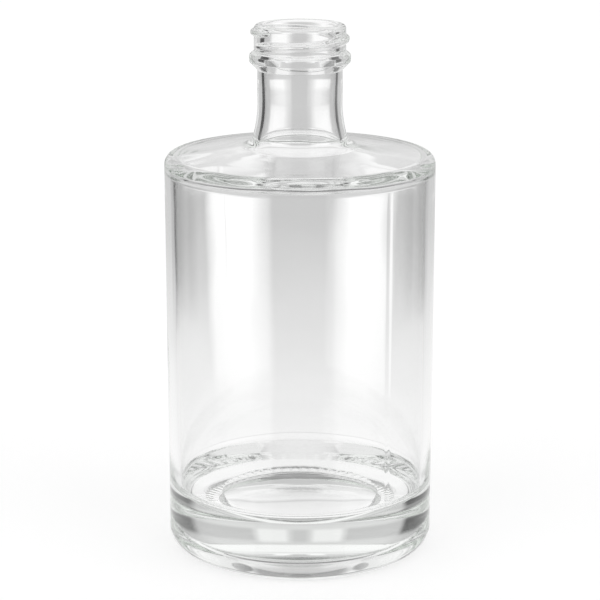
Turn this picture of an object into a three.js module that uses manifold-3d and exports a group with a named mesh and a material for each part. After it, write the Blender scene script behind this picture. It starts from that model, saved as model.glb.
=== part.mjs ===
// A clear glass bottle with a straight round body, a thick base, a nearly flat shoulder, a long
// neck and a screw finish. The real bottle is blown as one piece, so it is one solid here.
// Units are millimetres and +Z is up. The origin is on the axis, on the plane that it stands on.

import * as THREE from 'three';
import { mergeVertices } from 'three/addons/utils/BufferGeometryUtils.js';
import Module from 'manifold-3d';

// Body
const BODY_DIAMETER = 87;
const WALL = 3.2;
const HEEL_RADIUS = 5.4;

// Underside: a flat bearing ring around a low dome that is pushed up into the base
const BEARING_RING_DIAMETER = 62;
const PUSH_UP_DIAMETER = 56;
const PUSH_UP_STEP = 3.6;
const PUSH_UP_DOME = 1.4;
const PUSH_UP_RADIUS = 3;

// Inside floor: a flat disc in the middle of a low cone, above a thick base
const BASE_THICKNESS = 16;
const FLOOR_DISC_DIAMETER = 51.5;
const FLOOR_DISC_EDGE_RADIUS = 1.5;
const FLOOR_CONE_RISE = 5.6;
const FLOOR_CORNER_RADIUS = 2.5;

// Shoulder
const SHOULDER_SLOPE = THREE.MathUtils.degToRad(7.9);
const SHOULDER_CORNER_RADIUS = 3.2;
const SHOULDER_THICKNESS = 4;
const SHOULDER_INSIDE_RADIUS = 3;

// Neck: straight, then flared a little above its root on the shoulder, inside and outside alike
const NECK_AND_FINISH_HEIGHT = 41.7;
const NECK_DIAMETER = 27.2;
const NECK_BORE = 22.2;
const NECK_FLARE_RISE = 11.9;
const NECK_FLARE_ANGLE = THREE.MathUtils.degToRad(14);
const NECK_FLARE_RADIUS = 42;
const NECK_ROOT_RADIUS = 3.5;
const NECK_INSIDE_ROOT_RADIUS = 6.5;

// Finish: the rim, the wall that carries the thread, and the bead below it
const OVERALL_HEIGHT = 171.6;
const FINISH_DIAMETER = 29.2;
const MOUTH_BORE = 23;
const MOUTH_BORE_DEPTH = 14;
const LIP_OUTER_RADIUS = 1.5;
const LIP_INNER_RADIUS = 0.8;
const BEAD_DIAMETER = 32.3;
const BEAD_TOP_DROP = 9.7;
const BEAD_HEIGHT = 2.1;
const BEAD_CHAMFER = 0.8;
const BEAD_CONE_ANGLE = THREE.MathUtils.degToRad(45);
const BEAD_EDGE_RADIUS = 0.4;

// Thread: right-handed, one start, fading into the wall at both ends
const THREAD_DIAMETER = 31.4;
const THREAD_PITCH = 4.233;
const THREAD_BASE_WIDTH = 2.9;
const THREAD_START_DROP = 1.9;
const THREAD_START_ANGLE = THREE.MathUtils.degToRad(-129);
const THREAD_SWEEP = THREE.MathUtils.degToRad(396);
const THREAD_FADE = THREE.MathUtils.degToRad(36);
const THREAD_ROOT_SINK = 0.5;
const THREAD_SECTION_STEPS = 6;

// Fineness of the solid
const LATHE_SEGMENTS = 60;
const ARC_TOLERANCE = 0.06;
const BOWL_STEPS = 5;
const WELD = 1e-4;

const bodyRadius = BODY_DIAMETER / 2;
const insideRadius = bodyRadius - WALL;
const neckRadius = NECK_DIAMETER / 2;
const finishRadius = FINISH_DIAMETER / 2;
const mouthRadius = MOUTH_BORE / 2;
const shoulderCornerHeight = OVERALL_HEIGHT - NECK_AND_FINISH_HEIGHT;
const neckFlareHeight = shoulderCornerHeight + NECK_FLARE_RISE;

// A corner of an outline, at radius r and height z, rounded with a fillet.
function corner(r, z, fillet = 0) {
  return { point: new THREE.Vector2(r, z), fillet };
}

// The fillet arc at one corner, as points from the incoming edge to the outgoing one.
function filletPoints(before, { point, fillet }, after) {
  if (fillet === 0) return [point];
  const toBefore = before.clone().sub(point).normalize();
  const toAfter = after.clone().sub(point).normalize();
  const halfAngle = Math.acos(toBefore.dot(toAfter)) / 2;
  const bisector = toBefore.clone().add(toAfter).normalize();
  const centre = point.clone().addScaledVector(bisector, fillet / Math.sin(halfAngle));
  const tangentLength = fillet / Math.tan(halfAngle);
  const from = point.clone().addScaledVector(toBefore, tangentLength).sub(centre);
  const to = point.clone().addScaledVector(toAfter, tangentLength).sub(centre);
  const sweep = Math.atan2(from.cross(to), from.dot(to));
  const steps = Math.ceil(Math.abs(sweep) / (2 * Math.acos(1 - ARC_TOLERANCE / fillet)));
  return Array.from({ length: steps + 1 }, (_, i) =>
    from.clone().rotateAround(new THREE.Vector2(), (sweep * i) / steps).add(centre));
}

// An open outline through rounded corners.
function roundedOutline(corners) {
  return corners.flatMap((item, i) => {
    if (i === 0 || i === corners.length - 1) return [item.point];
    return filletPoints(corners[i - 1].point, item, corners[i + 1].point);
  });
}

// A parabola from the axis out to radius `reach`, from height `centre` to height `edge`.
function bowl(reach, centre, edge) {
  return Array.from({ length: BOWL_STEPS }, (_, i) => {
    const share = i / BOWL_STEPS;
    return new THREE.Vector2(reach * share, centre + (edge - centre) * share * share);
  });
}

// Height of the outside of the shoulder at radius r, lowered by a thickness on the inside.
function shoulderHeight(r, thickness = 0) {
  const slopeRise = (bodyRadius - r) * Math.tan(SHOULDER_SLOPE);
  return shoulderCornerHeight + slopeRise - thickness / Math.cos(SHOULDER_SLOPE);
}

// The corner where a flared side of the neck meets the shoulder, or its inside at a thickness.
function neckRoot(straightRadius, fillet, thickness = 0) {
  const flare = Math.tan(NECK_FLARE_ANGLE);
  const drop = neckFlareHeight - shoulderHeight(straightRadius, thickness);
  const r = straightRadius + (flare * drop) / (1 - flare * Math.tan(SHOULDER_SLOPE));
  return corner(r, shoulderHeight(r, thickness), fillet);
}

function undersideOutline() {
  const pushUpRadius = PUSH_UP_DIAMETER / 2;
  const dome = bowl(pushUpRadius, PUSH_UP_STEP + PUSH_UP_DOME, PUSH_UP_STEP);
  const lastOfDome = dome.at(-1);
  return [
    ...dome.slice(0, -1),
    ...roundedOutline([
      corner(lastOfDome.x, lastOfDome.y),
      corner(pushUpRadius, PUSH_UP_STEP, PUSH_UP_RADIUS),
      corner(BEARING_RING_DIAMETER / 2, 0),
    ]),
  ];
}

function beadCorners() {
  const radius = BEAD_DIAMETER / 2;
  const top = OVERALL_HEIGHT - BEAD_TOP_DROP;
  const bottom = top - BEAD_HEIGHT;
  const coneHeight = (radius - neckRadius) / Math.tan(BEAD_CONE_ANGLE);
  return [
    corner(neckRadius, bottom - coneHeight, BEAD_EDGE_RADIUS),
    corner(radius, bottom, BEAD_EDGE_RADIUS),
    corner(radius, top, BEAD_EDGE_RADIUS),
    corner(radius - BEAD_CHAMFER, top + BEAD_CHAMFER, BEAD_EDGE_RADIUS),
    corner(finishRadius, top + BEAD_CHAMFER + BEAD_EDGE_RADIUS, BEAD_EDGE_RADIUS),
  ];
}

function outsideAndMouthCorners() {
  return [
    corner(BEARING_RING_DIAMETER / 2, 0),
    corner(bodyRadius, 0, HEEL_RADIUS),
    corner(bodyRadius, shoulderCornerHeight, SHOULDER_CORNER_RADIUS),
    neckRoot(neckRadius, NECK_ROOT_RADIUS),
    corner(neckRadius, neckFlareHeight, NECK_FLARE_RADIUS),
    ...beadCorners(),
    corner(finishRadius, OVERALL_HEIGHT, LIP_OUTER_RADIUS),
    corner(mouthRadius, OVERALL_HEIGHT, LIP_INNER_RADIUS),
    corner(mouthRadius, OVERALL_HEIGHT - MOUTH_BORE_DEPTH),
  ];
}

function insideCorners() {
  const neckInside = NECK_BORE / 2;
  return [
    corner(mouthRadius, OVERALL_HEIGHT - MOUTH_BORE_DEPTH),
    corner(neckInside, neckFlareHeight, NECK_FLARE_RADIUS),
    neckRoot(neckInside, NECK_INSIDE_ROOT_RADIUS, SHOULDER_THICKNESS),
    corner(insideRadius, shoulderHeight(insideRadius, SHOULDER_THICKNESS), SHOULDER_INSIDE_RADIUS),
    corner(insideRadius, BASE_THICKNESS + FLOOR_CONE_RISE, FLOOR_CORNER_RADIUS),
    corner(FLOOR_DISC_DIAMETER / 2, BASE_THICKNESS, FLOOR_DISC_EDGE_RADIUS),
    corner(0, BASE_THICKNESS),
  ];
}

// The section of the glass, from the middle of the underside, up the outside, over the rim,
// down the inside and to the middle of the floor.
function glassSection() {
  return [
    ...undersideOutline().slice(0, -1),
    ...roundedOutline(outsideAndMouthCorners()).slice(0, -1),
    ...roundedOutline(insideCorners()),
  ];
}

function revolvedGlass() {
  return new THREE.LatheGeometry(glassSection(), LATHE_SEGMENTS).rotateX(Math.PI / 2);
}

// One section of the thread ridge, `turned` radians down from its start: half an ellipse on a
// root that is sunk in the wall. The ridge shrinks below the wall's surface at both ends.
function threadSection(turned) {
  const fromEnd = Math.min(turned, THREAD_SWEEP - turned);
  const strength = Math.sin((Math.PI / 2) * Math.min(1, fromEnd / THREAD_FADE));
  const depth = THREAD_DIAMETER / 2 - finishRadius;
  const halfWidth = (THREAD_BASE_WIDTH / 2) * (0.5 + 0.5 * strength);
  const angle = THREAD_START_ANGLE - turned;
  const middle = OVERALL_HEIGHT - THREAD_START_DROP - (THREAD_PITCH * turned) / (2 * Math.PI);
  const place = (offset, height) => {
    const r = finishRadius + offset;
    return new THREE.Vector3(r * Math.cos(angle), r * Math.sin(angle), middle + height);
  };
  const surface = Array.from({ length: THREAD_SECTION_STEPS + 1 }, (_, i) => {
    const swing = Math.PI * (i / THREAD_SECTION_STEPS - 0.5);
    const crest = (depth + THREAD_ROOT_SINK / 2) * strength * Math.cos(swing);
    return place(crest - THREAD_ROOT_SINK / 2, halfWidth * Math.sin(swing));
  });
  return [place(-THREAD_ROOT_SINK, -halfWidth), ...surface, place(-THREAD_ROOT_SINK, halfWidth)];
}

// A closed skin over a row of sections that have the same number of points.
function loft(sections) {
  const count = sections[0].length;
  const at = (row, i) => row * count + (i % count);
  const index = [];
  for (let row = 0; row < sections.length - 1; row += 1) {
    for (let i = 0; i < count; i += 1) {
      index.push(at(row, i), at(row + 1, i + 1), at(row + 1, i));
      index.push(at(row, i), at(row, i + 1), at(row + 1, i + 1));
    }
  }
  const last = sections.length - 1;
  for (let i = 1; i < count - 1; i += 1) {
    index.push(at(0, 0), at(0, i + 1), at(0, i));
    index.push(at(last, 0), at(last, i), at(last, i + 1));
  }
  return new THREE.BufferGeometry().setFromPoints(sections.flat()).setIndex(index);
}

// The ridge has a section over the middle of each facet of the revolved glass.
function threadRidge() {
  const steps = Math.round((THREAD_SWEEP / (2 * Math.PI)) * LATHE_SEGMENTS);
  return loft(Array.from({ length: steps + 1 }, (_, i) => threadSection((THREAD_SWEEP * i) / steps)));
}

const manifold = await Module();
manifold.setup();

// A three.js geometry as a solid for the boolean kernel, with its seams welded.
function toSolid(geometry) {
  const bare = geometry.clone();
  bare.deleteAttribute('normal');
  bare.deleteAttribute('uv');
  const welded = mergeVertices(bare, WELD);
  const corners = Array.from(welded.index.array);
  const triangles = [];
  for (let i = 0; i < corners.length; i += 3) {
    const [a, b, c] = corners.slice(i, i + 3);
    if (a !== b && b !== c && c !== a) triangles.push(a, b, c);
  }
  return new manifold.Manifold(new manifold.Mesh({
    numProp: 3,
    vertProperties: new Float32Array(welded.attributes.position.array),
    triVerts: new Uint32Array(triangles),
  }));
}

function toGeometry(solid) {
  const mesh = solid.getMesh();
  const geometry = new THREE.BufferGeometry();
  geometry.setAttribute('position', new THREE.BufferAttribute(mesh.vertProperties, 3));
  geometry.setIndex(new THREE.BufferAttribute(mesh.triVerts, 1));
  geometry.computeVertexNormals();
  return geometry;
}

function bottle() {
  const glass = new THREE.MeshStandardMaterial({
    color: 0xe9eeea,
    roughness: 0.03,
    metalness: 0,
    transparent: true,
    opacity: 0.35,
  });
  const mesh = new THREE.Mesh(toGeometry(toSolid(revolvedGlass()).add(toSolid(threadRidge()))), glass);
  mesh.name = 'bottle';
  return mesh;
}

const object = new THREE.Group();
object.name = 'glass_bottle';
object.add(bottle());

export default object;
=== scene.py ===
"""Looks of the clear glass bottle: its smooth glass with thread, ribs and seams, the glass material,
the camera and the studio. Lengths are in metres and angles in radians unless a name says otherwise."""
import math

import bpy
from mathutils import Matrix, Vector, noise


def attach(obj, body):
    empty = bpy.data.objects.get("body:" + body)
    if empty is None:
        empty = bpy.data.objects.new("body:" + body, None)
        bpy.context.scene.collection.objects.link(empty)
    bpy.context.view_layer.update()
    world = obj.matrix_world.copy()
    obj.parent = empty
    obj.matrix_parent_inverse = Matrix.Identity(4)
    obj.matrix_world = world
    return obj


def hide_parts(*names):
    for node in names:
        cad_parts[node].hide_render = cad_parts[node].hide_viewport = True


MM = 0.001
TURN = 2 * math.pi

# Body, base and floor
BODY_RADIUS = 43.5 * MM
WALL = 3.2 * MM
HEEL_RADIUS = 5.4 * MM
BEARING_RING_INNER = 31.0 * MM
PUSH_UP_EDGE = 28.0 * MM
PUSH_UP_STEP = 3.6 * MM
PUSH_UP_DOME = 1.4 * MM
PUSH_UP_FILLET = 3.0 * MM
BASE_THICKNESS = 16.0 * MM
FLOOR_DISC_EDGE = 25.75 * MM
FLOOR_DISC_EDGE_RADIUS = 1.5 * MM
FLOOR_CONE_RISE = 5.6 * MM
FLOOR_CORNER_RADIUS = 2.5 * MM

# Shoulder and neck
SHOULDER_CORNER_HEIGHT = 129.9 * MM
SHOULDER_SLOPE = math.radians(7.9)
SHOULDER_CORNER_RADIUS = 3.2 * MM
SHOULDER_THICKNESS = 4.0 * MM
SHOULDER_INSIDE_RADIUS = 3.0 * MM
NECK_RADIUS = 13.6 * MM
NECK_INSIDE = 11.1 * MM
NECK_FLARE_HEIGHT = 141.8 * MM
NECK_FLARE_ANGLE = math.radians(14)
NECK_FLARE_RADIUS = 42.0 * MM
NECK_ROOT_RADIUS = 3.5 * MM
NECK_INSIDE_ROOT_RADIUS = 6.5 * MM

# Finish
OVERALL_HEIGHT = 171.6 * MM
FINISH_RADIUS = 14.6 * MM
MOUTH_RADIUS = 11.5 * MM
MOUTH_BORE_DEPTH = 14.0 * MM
LIP_OUTER_RADIUS = 1.5 * MM
LIP_INNER_RADIUS = 0.8 * MM
BEAD_RADIUS = 16.15 * MM
BEAD_TOP_DROP = 9.7 * MM
BEAD_HEIGHT = 2.1 * MM
BEAD_CHAMFER = 0.8 * MM
BEAD_EDGE_RADIUS = 0.4 * MM

# Thread
THREAD_RADIUS = 15.7 * MM
THREAD_PITCH = 4.233 * MM
THREAD_HALF_WIDTH = 1.55 * MM
THREAD_CREST_SHARE = 0.25
THREAD_START_DROP = 1.9 * MM
THREAD_START_ANGLE = math.radians(-129)
THREAD_SWEEP = math.radians(396)
THREAD_FADE = math.radians(36)

# Small forms that only the looks have
RIB_COUNT = 64
RIB_DEPTH = 0.4 * MM
RIB_INNER = 33.0 * MM
RIB_OUTER = 36.6 * MM
RIB_EDGE = 0.8 * MM
SEAM_ANGLES = (math.radians(-50.6), math.radians(129.4))
SEAM_HEIGHT = 0.05 * MM
SEAM_HALF_WIDTH = 0.5 * MM
INSIDE_WAVE = 0.09 * MM
INSIDE_WAVE_LENGTH = 16.0 * MM
SHOULDER_WAVE_FROM = 124.5 * MM
SHOULDER_WAVE_SHARE = 4.0
NECK_WAVE_SHARE = 0.2

# Fineness of the mesh
SEGMENTS = 384
ARC_TOLERANCE = 0.006 * MM
THREAD_ROW = 0.25 * MM
RIB_ROW = 0.6 * MM
RING_FLATNESS = 0.005 * MM
LONG_ROW = 8.0 * MM
DOME_STEPS = 12

# Glass
GLASS_IOR = 1.52
GLASS_TINT = (0.90, 0.95, 0.90, 1.0)
GLASS_TINT_PER_METRE = 3.0
RIPPLES_PER_METRE = 90.0
RIPPLE_DETAIL = 2.0
RIPPLE_STRENGTH = 0.04
RIPPLE_HEIGHT = 0.2 * MM
MOST_ROUGHNESS = 0.012

# Floor
FLOOR_SIZE = 6.0
FLOOR_COLOUR = (0.78, 0.78, 0.78, 1.0)
FLOOR_LIFT = 0.66
WHITE = (1.0, 1.0, 1.0, 1.0)

# Brightness of the room's parts by elevation in degrees
BACKDROP = (
    (-26, 1.0), (-22.3, 0.92), (-22, 0.68), (-21.3, 0.68), (-20.9, 1.0), (-17.6, 0.93), (-16.2, 0.86),
    (-14.75, 0.78), (-13.6, 0.70), (-12.5, 0.63), (0, 0.60), (10, 0.75), (35, 0.7), (60, 0.25),
)
SIDES = (
    (-20, 0.85), (-17.6, 0.76), (-16.2, 0.72), (-14.75, 0.65), (-12.5, 0.52), (-8, 0.42), (20, 0.45),
    (60, 0.2),
)
BOXES = ((-20, 0.7), (-17.6, 0.85), (-16.2, 0.95), (45, 0.95), (55, 0.4))
CAMERA_SIDE = ((-12, 0.4), (5, 0.3), (60, 0.3))
FLAG_BRIGHTNESS = 0.05
BODY_PANEL_BRIGHTNESS = 1.03
NECK_PANEL_BRIGHTNESS = 1.0

# How much of each part there is by elevation in degrees
STRIPES_UP = ((12, 0.0), (15, 1.0), (24, 1.0), (27, 0.0))
BODY_PANELS_UP = ((-18, 0.0), (-17, 1.0), (-11.2, 1.0), (-10.8, 0.0))
NECK_PANELS_UP = ((-10.8, 0.0), (-10.4, 1.0), (-8.4, 1.0), (-8.0, 0.0))
FLAGS_UP = (
    (-15.6, 0.0), (-13.8, 1.0), (-2, 1.0), (0, 0.7), (12, 0.7), (15, 1.0), (24, 1.0), (28, 0.0),
)

# How much of each part there is by bearing in degrees from the camera's side
BACKDROP_ROUND = ((-150, 1.0), (-120, 0.0), (120, 0.0), (150, 1.0))
CAMERA_SIDE_ROUND = ((-40, 0.0), (-39, 1.0), (39, 1.0), (40, 0.0))
BOXES_ROUND = (
    (-86, 0.0), (-83, 1.0), (-26, 1.0), (-23, 0.0), (28, 0.0), (32, 1.0), (88, 1.0), (92, 0.0),
)
FLAGS_ROUND = (
    (-143, 0.0), (-139, 1.0), (-104, 1.0), (-98, 0.0), (98, 0.0), (104, 0.8), (136, 0.8), (142, 0.0),
)

# The same on both sides, by turns from the camera's side, where 0.5 is straight behind the bottle
STRIPES = ((0.455, 0.58), (0.462, 0.58), (0.468, 0.92), (0.489, 0.92), (0.494, 0.62), (0.5, 0.62))
BODY_PANELS = ((0.4815, 0.0), (0.484, 1.0), (0.4945, 1.0), (0.4955, 0.0))
NECK_PANELS = ((0.455, 0.0), (0.465, 1.0), (0.49, 1.0), (0.4935, 0.0))
BOX_REACH = ((0.0, 1.0), (0.245, 1.0), (0.27, 0.0), (1.0, 0.0))
BOX_SLANT = 3.8
BOX_SLANT_BELOW = -13.6

# Camera, from the fit to the photograph's outline
CAMERA_DISTANCE = 0.645
CAMERA_HEIGHT = 0.2514
CAMERA_TILT = math.radians(14.754)
CAMERA_LENS_MM = 122.6
SENSOR_MM = 36.0

# Bounces that light needs to find its way out of the thick base and the shoulder's corner
GLASS_BOUNCES = 96
CLEAR_BOUNCES = 16


def corner(r, z, fillet=0.0):
    """A corner of an outline at radius r and height z, rounded with a fillet."""
    return Vector((r, z)), fillet


def fillet_points(before, point, fillet, after):
    """The fillet arc at one corner, from the incoming edge to the outgoing one."""
    if fillet == 0.0:
        return [point]
    to_before = (before - point).normalized()
    to_after = (after - point).normalized()
    half_angle = to_before.angle(to_after) / 2
    centre = point + (to_before + to_after).normalized() * (fillet / math.sin(half_angle))
    tangent = fillet / math.tan(half_angle)
    start = point + to_before * tangent - centre
    end = point + to_after * tangent - centre
    first = math.atan2(start.y, start.x)
    sweep = (math.atan2(end.y, end.x) - first + math.pi) % TURN - math.pi
    steps = math.ceil(abs(sweep) / (2 * math.acos(1 - ARC_TOLERANCE / fillet)))
    angles = [first + sweep * i / steps for i in range(steps + 1)]
    return [centre + Vector((math.cos(a), math.sin(a))) * fillet for a in angles]


def rounded_outline(corners):
    """An open outline through rounded corners."""
    points = [corners[0][0]]
    for (before, _), (point, fillet), (after, _) in zip(corners, corners[1:], corners[2:]):
        points += fillet_points(before, point, fillet, after)
    return points + [corners[-1][0]]


def bowl(reach, centre, edge):
    """A parabola from the axis to just short of radius `reach`."""
    shares = [i / DOME_STEPS for i in range(DOME_STEPS)]
    return [Vector((reach * s, centre + (edge - centre) * s * s)) for s in shares]


def shoulder_height(r, thickness=0.0):
    """Height of the shoulder's outside at radius r, lowered by a thickness on the inside."""
    rise = (BODY_RADIUS - r) * math.tan(SHOULDER_SLOPE)
    return SHOULDER_CORNER_HEIGHT + rise - thickness / math.cos(SHOULDER_SLOPE)


def neck_root(straight_radius, fillet, thickness=0.0):
    """The corner where a flared side of the neck meets the shoulder, or its inside."""
    flare = math.tan(NECK_FLARE_ANGLE)
    drop = NECK_FLARE_HEIGHT - shoulder_height(straight_radius, thickness)
    r = straight_radius + flare * drop / (1 - flare * math.tan(SHOULDER_SLOPE))
    return corner(r, shoulder_height(r, thickness), fillet)


def underside_outline():
    """From the middle of the push-up to the inner edge of the bearing ring."""
    dome = bowl(PUSH_UP_EDGE, PUSH_UP_STEP + PUSH_UP_DOME, PUSH_UP_STEP)
    edge = rounded_outline([
        corner(*dome[-1]),
        corner(PUSH_UP_EDGE, PUSH_UP_STEP, PUSH_UP_FILLET),
        corner(BEARING_RING_INNER, 0.0),
    ])
    return dome[:-1] + edge[:-1]


def bead_corners():
    """The bead below the thread, with a cone under it and a chamfer above."""
    top = OVERALL_HEIGHT - BEAD_TOP_DROP
    bottom = top - BEAD_HEIGHT
    cone_height = BEAD_RADIUS - NECK_RADIUS
    return [
        corner(NECK_RADIUS, bottom - cone_height, BEAD_EDGE_RADIUS),
        corner(BEAD_RADIUS, bottom, BEAD_EDGE_RADIUS),
        corner(BEAD_RADIUS, top, BEAD_EDGE_RADIUS),
        corner(BEAD_RADIUS - BEAD_CHAMFER, top + BEAD_CHAMFER, BEAD_EDGE_RADIUS),
        corner(FINISH_RADIUS, top + BEAD_CHAMFER + BEAD_EDGE_RADIUS, BEAD_EDGE_RADIUS),
    ]


def outside_corners():
    """From the bearing ring up the outside and over the rim to the foot of the mouth's bore."""
    return [
        corner(BEARING_RING_INNER, 0.0),
        corner(BODY_RADIUS, 0.0, HEEL_RADIUS),
        corner(BODY_RADIUS, SHOULDER_CORNER_HEIGHT, SHOULDER_CORNER_RADIUS),
        neck_root(NECK_RADIUS, NECK_ROOT_RADIUS),
        corner(NECK_RADIUS, NECK_FLARE_HEIGHT, NECK_FLARE_RADIUS),
        *bead_corners(),
        corner(FINISH_RADIUS, OVERALL_HEIGHT, LIP_OUTER_RADIUS),
        corner(MOUTH_RADIUS, OVERALL_HEIGHT, LIP_INNER_RADIUS),
        corner(MOUTH_RADIUS, OVERALL_HEIGHT - MOUTH_BORE_DEPTH),
    ]


def inside_outline():
    """From the foot of the mouth's bore down the inside to the middle of the floor."""
    inside = BODY_RADIUS - WALL
    return rounded_outline([
        corner(MOUTH_RADIUS, OVERALL_HEIGHT - MOUTH_BORE_DEPTH),
        corner(NECK_INSIDE, NECK_FLARE_HEIGHT, NECK_FLARE_RADIUS),
        neck_root(NECK_INSIDE, NECK_INSIDE_ROOT_RADIUS, SHOULDER_THICKNESS),
        corner(inside, shoulder_height(inside, SHOULDER_THICKNESS), SHOULDER_INSIDE_RADIUS),
        corner(inside, BASE_THICKNESS + FLOOR_CONE_RISE, FLOOR_CORNER_RADIUS),
        corner(FLOOR_DISC_EDGE, BASE_THICKNESS, FLOOR_DISC_EDGE_RADIUS),
        corner(0.0, BASE_THICKNESS),
    ])


def row_step(point):
    """How far apart rows lie on a long stretch: closest on the thread, then on the ribs."""
    above_bead = point.y > OVERALL_HEIGHT - BEAD_TOP_DROP + BEAD_CHAMFER
    if above_bead and point.x > FINISH_RADIUS - LIP_OUTER_RADIUS:
        return THREAD_ROW
    if point.y < RING_FLATNESS:
        return RIB_ROW
    return LONG_ROW


def with_rows(points):
    """Adds rows to the long stretches of an outline."""
    rows = [points[0]]
    for before, after in zip(points, points[1:]):
        count = max(1, math.ceil((after - before).length / row_step((before + after) / 2)))
        rows += [before.lerp(after, i / count) for i in range(1, count + 1)]
    return rows


def smooth_step(x):
    """An even rise from 0 to 1 that starts and ends level."""
    x = min(max(x, 0.0), 1.0)
    return x * x * (3 - 2 * x)


def thread_height(angle, z):
    """How far the thread's ridge stands out from the finish at an angle and a height."""
    height = 0.0
    for turn in range(math.ceil(THREAD_SWEEP / TURN)):
        turned = (THREAD_START_ANGLE - angle) % TURN + turn * TURN
        if turned > THREAD_SWEEP:
            continue
        middle = OVERALL_HEIGHT - THREAD_START_DROP - THREAD_PITCH * turned / TURN
        fade = math.sin(math.pi / 2 * min(1.0, min(turned, THREAD_SWEEP - turned) / THREAD_FADE))
        half = THREAD_HALF_WIDTH * (0.5 + 0.5 * fade)
        flank = (half - abs(z - middle)) / (half * (1 - THREAD_CREST_SHARE))
        height = max(height, (THREAD_RADIUS - FINISH_RADIUS) * fade * smooth_step(flank))
    return height


def rib_lift(angle, r):
    """How far the bearing ring lies above the table between its low radial ribs."""
    inner = smooth_step((r - RIB_INNER) / RIB_EDGE)
    outer = smooth_step((RIB_OUTER - r) / RIB_EDGE)
    wave = 0.5 - 0.5 * math.cos(RIB_COUNT * angle)
    return RIB_DEPTH * inner * outer * wave


def seam_height(angle, r):
    """The faint line that the two mould halves leave down the outside."""
    height = 0.0
    for seam in SEAM_ANGLES:
        away = abs((angle - seam + math.pi) % TURN - math.pi) * r
        height = max(height, SEAM_HEIGHT * smooth_step(1 - away / SEAM_HALF_WIDTH))
    return height


def outside_point(angle, r, z):
    """A point of the outside, with its thread, ribs and seams."""
    z_lift = rib_lift(angle, r) if z < RIB_DEPTH else 0.0
    on_finish = z > OVERALL_HEIGHT - BEAD_TOP_DROP and r > FINISH_RADIUS - LIP_OUTER_RADIUS
    reach = r + (thread_height(angle, z) if on_finish else 0.0)
    if HEEL_RADIUS < z < SHOULDER_CORNER_HEIGHT - SHOULDER_CORNER_RADIUS:
        reach += seam_height(angle, r) - SEAM_HEIGHT
    return Vector((reach * math.cos(angle), reach * math.sin(angle), z + z_lift))


def unevenness(r, z):
    """How uneven the inside is: most under the shoulder, little in the neck, none at the mouth."""
    rise = smooth_step((z - SHOULDER_WAVE_FROM) / SHOULDER_THICKNESS)
    beside_neck = smooth_step((r - NECK_RADIUS) / SHOULDER_THICKNESS)
    share = NECK_WAVE_SHARE + (SHOULDER_WAVE_SHARE - NECK_WAVE_SHARE) * beside_neck
    below_bore = smooth_step((OVERALL_HEIGHT - z) / MOUTH_BORE_DEPTH - 0.5)
    return (1 + (share - 1) * rise) * below_bore


def inside_point(angle, r, z):
    """A point of the inside, which blowing leaves very slightly uneven."""
    place = Vector((r * math.cos(angle), r * math.sin(angle), z))
    wave = noise.noise(place / INSIDE_WAVE_LENGTH) * INSIDE_WAVE * unevenness(r, z)
    reach = 1 + wave / max(r, NECK_INSIDE)
    return Vector((place.x * reach, place.y * reach, z + wave))


def glass_rows():
    """Rows of the section: the outside's radius and height, then the inside's."""
    outside = with_rows(underside_outline() + rounded_outline(outside_corners()))
    return outside, with_rows(inside_outline())[1:]


def ring(row, place):
    """One row of the section, placed all the way round."""
    return [place(TURN * i / SEGMENTS, row.x, row.y) for i in range(SEGMENTS)]


def glass_faces(ring_count):
    """Fans at both ends and quads between the rings."""
    last = 1 + (ring_count - 1) * SEGMENTS
    end = last + SEGMENTS
    faces = []
    for i in range(SEGMENTS):
        after = (i + 1) % SEGMENTS
        faces.append((0, 1 + after, 1 + i))
        faces.append((last + i, last + after, end))
        for row in range(ring_count - 1):
            low = 1 + row * SEGMENTS
            high = low + SEGMENTS
            faces.append((low + i, low + after, high + after, high + i))
    return faces


def build_bottle():
    """The glass as one closed surface of revolution with its fine forms."""
    outside, inside = glass_rows()
    rings = [ring(row, outside_point) for row in outside[1:]]
    rings += [ring(row, inside_point) for row in inside[:-1]]
    verts = [Vector((0.0, 0.0, outside[0].y))]
    verts += [point for points in rings for point in points]
    verts.append(inside_point(0.0, 0.0, inside[-1].y))
    mesh = bpy.data.meshes.new("bottle_glass")
    mesh.from_pydata(verts, [], glass_faces(len(rings)))
    mesh.shade_smooth()
    mesh.update()
    piece = bpy.data.objects.new("bottle_glass", mesh)
    bpy.context.collection.objects.link(piece)
    return piece


def node(tree, kind, **inputs):
    """One node with values on its named inputs."""
    made = tree.nodes.new(kind)
    for name, value in inputs.items():
        made.inputs[name.replace("_", " ")].default_value = value
    return made


def calc(tree, operation, *values):
    """One math node on numbers and sockets."""
    made = tree.nodes.new("ShaderNodeMath")
    made.operation = operation
    for socket, value in zip(made.inputs, values):
        if isinstance(value, (int, float)):
            socket.default_value = value
        else:
            tree.links.new(value, socket)
    return made.outputs[0]


def blend(tree, low, high, share):
    """From one brightness to another by a share."""
    kept = calc(tree, "MULTIPLY", low, calc(tree, "SUBTRACT", 1.0, share))
    return calc(tree, "ADD", kept, calc(tree, "MULTIPLY", high, share))


def ramp(tree, value, stops):
    """A grey ramp over a value. Stops are (position, brightness), and brightness may pass 1."""
    most = max(bright for _, bright in stops)
    made = tree.nodes.new("ShaderNodeValToRGB")
    made.color_ramp.elements[0].position = stops[0][0]
    made.color_ramp.elements[-1].position = stops[-1][0]
    for position, _ in stops[1:-1]:
        made.color_ramp.elements.new(position)
    for element, (_, bright) in zip(made.color_ramp.elements, stops):
        element.color = (bright / most, bright / most, bright / most, 1.0)
    tree.links.new(value, made.inputs["Fac"])
    return calc(tree, "MULTIPLY", made.outputs["Color"], most)


def above(degrees):
    """Where an elevation lies on a ramp from straight down to straight up."""
    return 0.5 + degrees / 180


def by_elevation(tree, elevation, stops):
    return ramp(tree, elevation, [(above(degrees), level) for degrees, level in stops])


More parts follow.
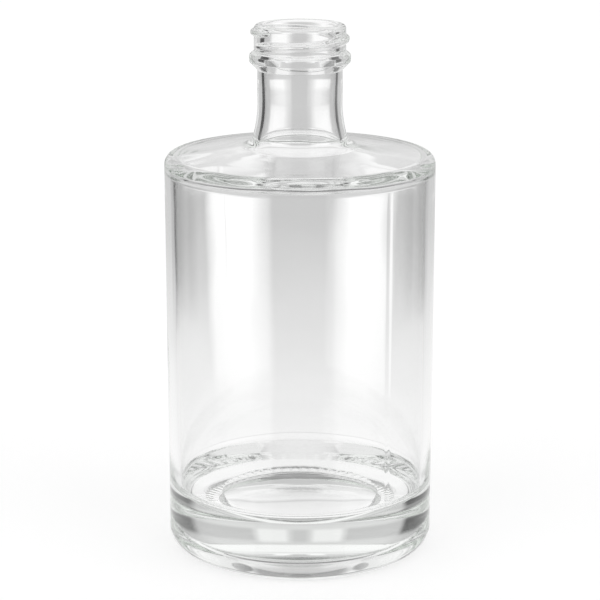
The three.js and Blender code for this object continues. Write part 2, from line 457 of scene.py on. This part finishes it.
def by_bearing(tree, bearing, stops):
    """A ramp round the room, whose middle is the camera's side."""
    return ramp(tree, bearing, [(0.5 + degrees / 360, level) for degrees, level in stops])


def glass_material():
    """Clear flint glass: polished, faintly tinted in its depth, with a very slight unevenness."""
    material = bpy.data.materials.new("clear_glass")
    material.use_nodes = True
    tree = material.node_tree
    shader = tree.nodes["Principled BSDF"]
    shader.inputs["Base Color"].default_value = WHITE
    shader.inputs["Transmission Weight"].default_value = 1.0
    shader.inputs["IOR"].default_value = GLASS_IOR
    place = tree.nodes.new("ShaderNodeTexCoord")
    ripple = node(tree, "ShaderNodeTexNoise", Scale=RIPPLES_PER_METRE, Detail=RIPPLE_DETAIL)
    bump = node(tree, "ShaderNodeBump", Strength=RIPPLE_STRENGTH, Distance=RIPPLE_HEIGHT)
    polish = node(tree, "ShaderNodeMapRange", To_Min=0.0, To_Max=MOST_ROUGHNESS)
    tree.links.new(place.outputs["Object"], ripple.inputs["Vector"])
    tree.links.new(ripple.outputs["Fac"], bump.inputs["Height"])
    tree.links.new(bump.outputs["Normal"], shader.inputs["Normal"])
    tree.links.new(ripple.outputs["Fac"], polish.inputs["Value"])
    tree.links.new(polish.outputs["Result"], shader.inputs["Roughness"])
    depth = node(tree, "ShaderNodeVolumeAbsorption", Color=GLASS_TINT, Density=GLASS_TINT_PER_METRE)
    tree.links.new(depth.outputs["Volume"], tree.nodes["Material Output"].inputs["Volume"])
    return material


def build_camera():
    """The photograph's view: a long lens that looks down a little."""
    data = bpy.data.cameras.new("camera")
    data.sensor_width = SENSOR_MM
    data.lens = CAMERA_LENS_MM
    camera = bpy.data.objects.new("camera", data)
    camera.location = (0.0, -CAMERA_DISTANCE, CAMERA_HEIGHT)
    camera.rotation_euler = (math.pi / 2 - CAMERA_TILT, 0.0, 0.0)
    bpy.context.collection.objects.link(camera)
    bpy.context.scene.camera = camera


def floor_material():
    """Matt white, lifted for the camera alone, so that it reads as white and keeps the shadow."""
    material = bpy.data.materials.new("white_floor")
    material.use_nodes = True
    tree = material.node_tree
    shader = tree.nodes["Principled BSDF"]
    shader.inputs["Base Color"].default_value = FLOOR_COLOUR
    shader.inputs["Roughness"].default_value = 1.0
    shader.inputs["Specular IOR Level"].default_value = 0.0
    shader.inputs["Emission Color"].default_value = WHITE
    path = tree.nodes.new("ShaderNodeLightPath")
    lift = calc(tree, "MULTIPLY", path.outputs["Is Camera Ray"], FLOOR_LIFT)
    tree.links.new(lift, shader.inputs["Emission Strength"])
    return material


def build_floor():
    """A plain floor under the bottle, which its glass doesn't show."""
    bpy.ops.mesh.primitive_plane_add(size=FLOOR_SIZE)
    floor = bpy.context.object
    floor.name = "floor"
    floor.data.materials.append(floor_material())
    floor.visible_glossy = False
    floor.visible_transmission = False


def room_directions(tree):
    """The bearing and the elevation of the direction that is looked in, each from 0 to 1."""
    place = tree.nodes.new("ShaderNodeTexCoord")
    split = tree.nodes.new("ShaderNodeSeparateXYZ")
    tree.links.new(place.outputs["Generated"], split.inputs[0])
    x, y, z = split.outputs
    turn = calc(tree, "ARCTAN2", x, calc(tree, "MULTIPLY", y, -1.0))
    bearing = calc(tree, "ADD", calc(tree, "DIVIDE", turn, TURN), 0.5)
    elevation = calc(tree, "ADD", calc(tree, "DIVIDE", calc(tree, "ARCSINE", z), math.pi), 0.5)
    return bearing, elevation


def backdrop_brightness(tree, elevation, beside):
    """The backdrop, with soft stripes high up and pale panels behind the body and the neck."""
    stripes = ramp(tree, beside, STRIPES)
    bright = by_elevation(tree, elevation, BACKDROP)
    bright = blend(tree, bright, stripes, by_elevation(tree, elevation, STRIPES_UP))
    for across, up, level in (
        (BODY_PANELS, BODY_PANELS_UP, BODY_PANEL_BRIGHTNESS),
        (NECK_PANELS, NECK_PANELS_UP, NECK_PANEL_BRIGHTNESS),
    ):
        share = calc(tree, "MULTIPLY", ramp(tree, beside, across), by_elevation(tree, elevation, up))
        bright = blend(tree, bright, level, share)
    return bright


def box_share(tree, bearing, elevation, beside):
    """Where the two soft boxes are. Low down their far edges slant toward the camera's side."""
    low = calc(tree, "MAXIMUM", calc(tree, "SUBTRACT", above(BOX_SLANT_BELOW), elevation), 0.0)
    reach = calc(tree, "ADD", beside, calc(tree, "MULTIPLY", low, BOX_SLANT))
    return calc(tree, "MULTIPLY", by_bearing(tree, bearing, BOXES_ROUND), ramp(tree, reach, BOX_REACH))


def room_brightness(tree):
    """A pale room that is darker beside its backdrop and behind the camera, with two tall soft
    boxes, one on each side of the camera, and dark flags beyond them."""
    bearing, elevation = room_directions(tree)
    beside = calc(tree, "ABSOLUTE", calc(tree, "SUBTRACT", bearing, 0.5))
    flags = by_elevation(tree, elevation, FLAGS_UP)
    flagged = calc(tree, "MULTIPLY", by_bearing(tree, bearing, FLAGS_ROUND), flags)
    backdrop = backdrop_brightness(tree, elevation, beside)
    camera_side = by_elevation(tree, elevation, CAMERA_SIDE)
    boxes = by_elevation(tree, elevation, BOXES)
    bright = by_elevation(tree, elevation, SIDES)
    bright = blend(tree, bright, backdrop, by_bearing(tree, bearing, BACKDROP_ROUND))
    bright = blend(tree, bright, camera_side, by_bearing(tree, bearing, CAMERA_SIDE_ROUND))
    bright = blend(tree, bright, FLAG_BRIGHTNESS, flagged)
    return blend(tree, bright, boxes, box_share(tree, bearing, elevation, beside))


def build_studio():
    """White to the camera, and a pale room with soft boxes to everything else."""
    world = bpy.data.worlds.new("studio")
    bpy.context.scene.world = world
    world.use_nodes = True
    tree = world.node_tree
    background = tree.nodes["Background"]
    background.inputs["Color"].default_value = WHITE
    path = tree.nodes.new("ShaderNodeLightPath")
    bright = blend(tree, room_brightness(tree), 1.0, path.outputs["Is Camera Ray"])
    tree.links.new(bright, background.inputs["Strength"])


def set_view():
    """Plain colours, and enough bounces for glass behind glass."""
    scene = bpy.context.scene
    scene.view_settings.view_transform = "Standard"
    scene.cycles.max_bounces = GLASS_BOUNCES
    scene.cycles.transmission_bounces = GLASS_BOUNCES
    scene.cycles.glossy_bounces = GLASS_BOUNCES
    scene.cycles.transparent_max_bounces = CLEAR_BOUNCES


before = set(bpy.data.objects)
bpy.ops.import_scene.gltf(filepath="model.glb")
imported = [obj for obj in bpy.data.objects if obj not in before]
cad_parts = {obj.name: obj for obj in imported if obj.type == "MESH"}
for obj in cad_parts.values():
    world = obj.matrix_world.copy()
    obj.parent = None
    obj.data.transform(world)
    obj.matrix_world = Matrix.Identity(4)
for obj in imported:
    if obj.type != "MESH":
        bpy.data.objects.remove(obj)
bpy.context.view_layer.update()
set_view()
build_camera()
build_studio()
build_floor()
bottle = build_bottle()
bottle.data.materials.append(glass_material())
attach(bottle, "root")
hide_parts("bottle")
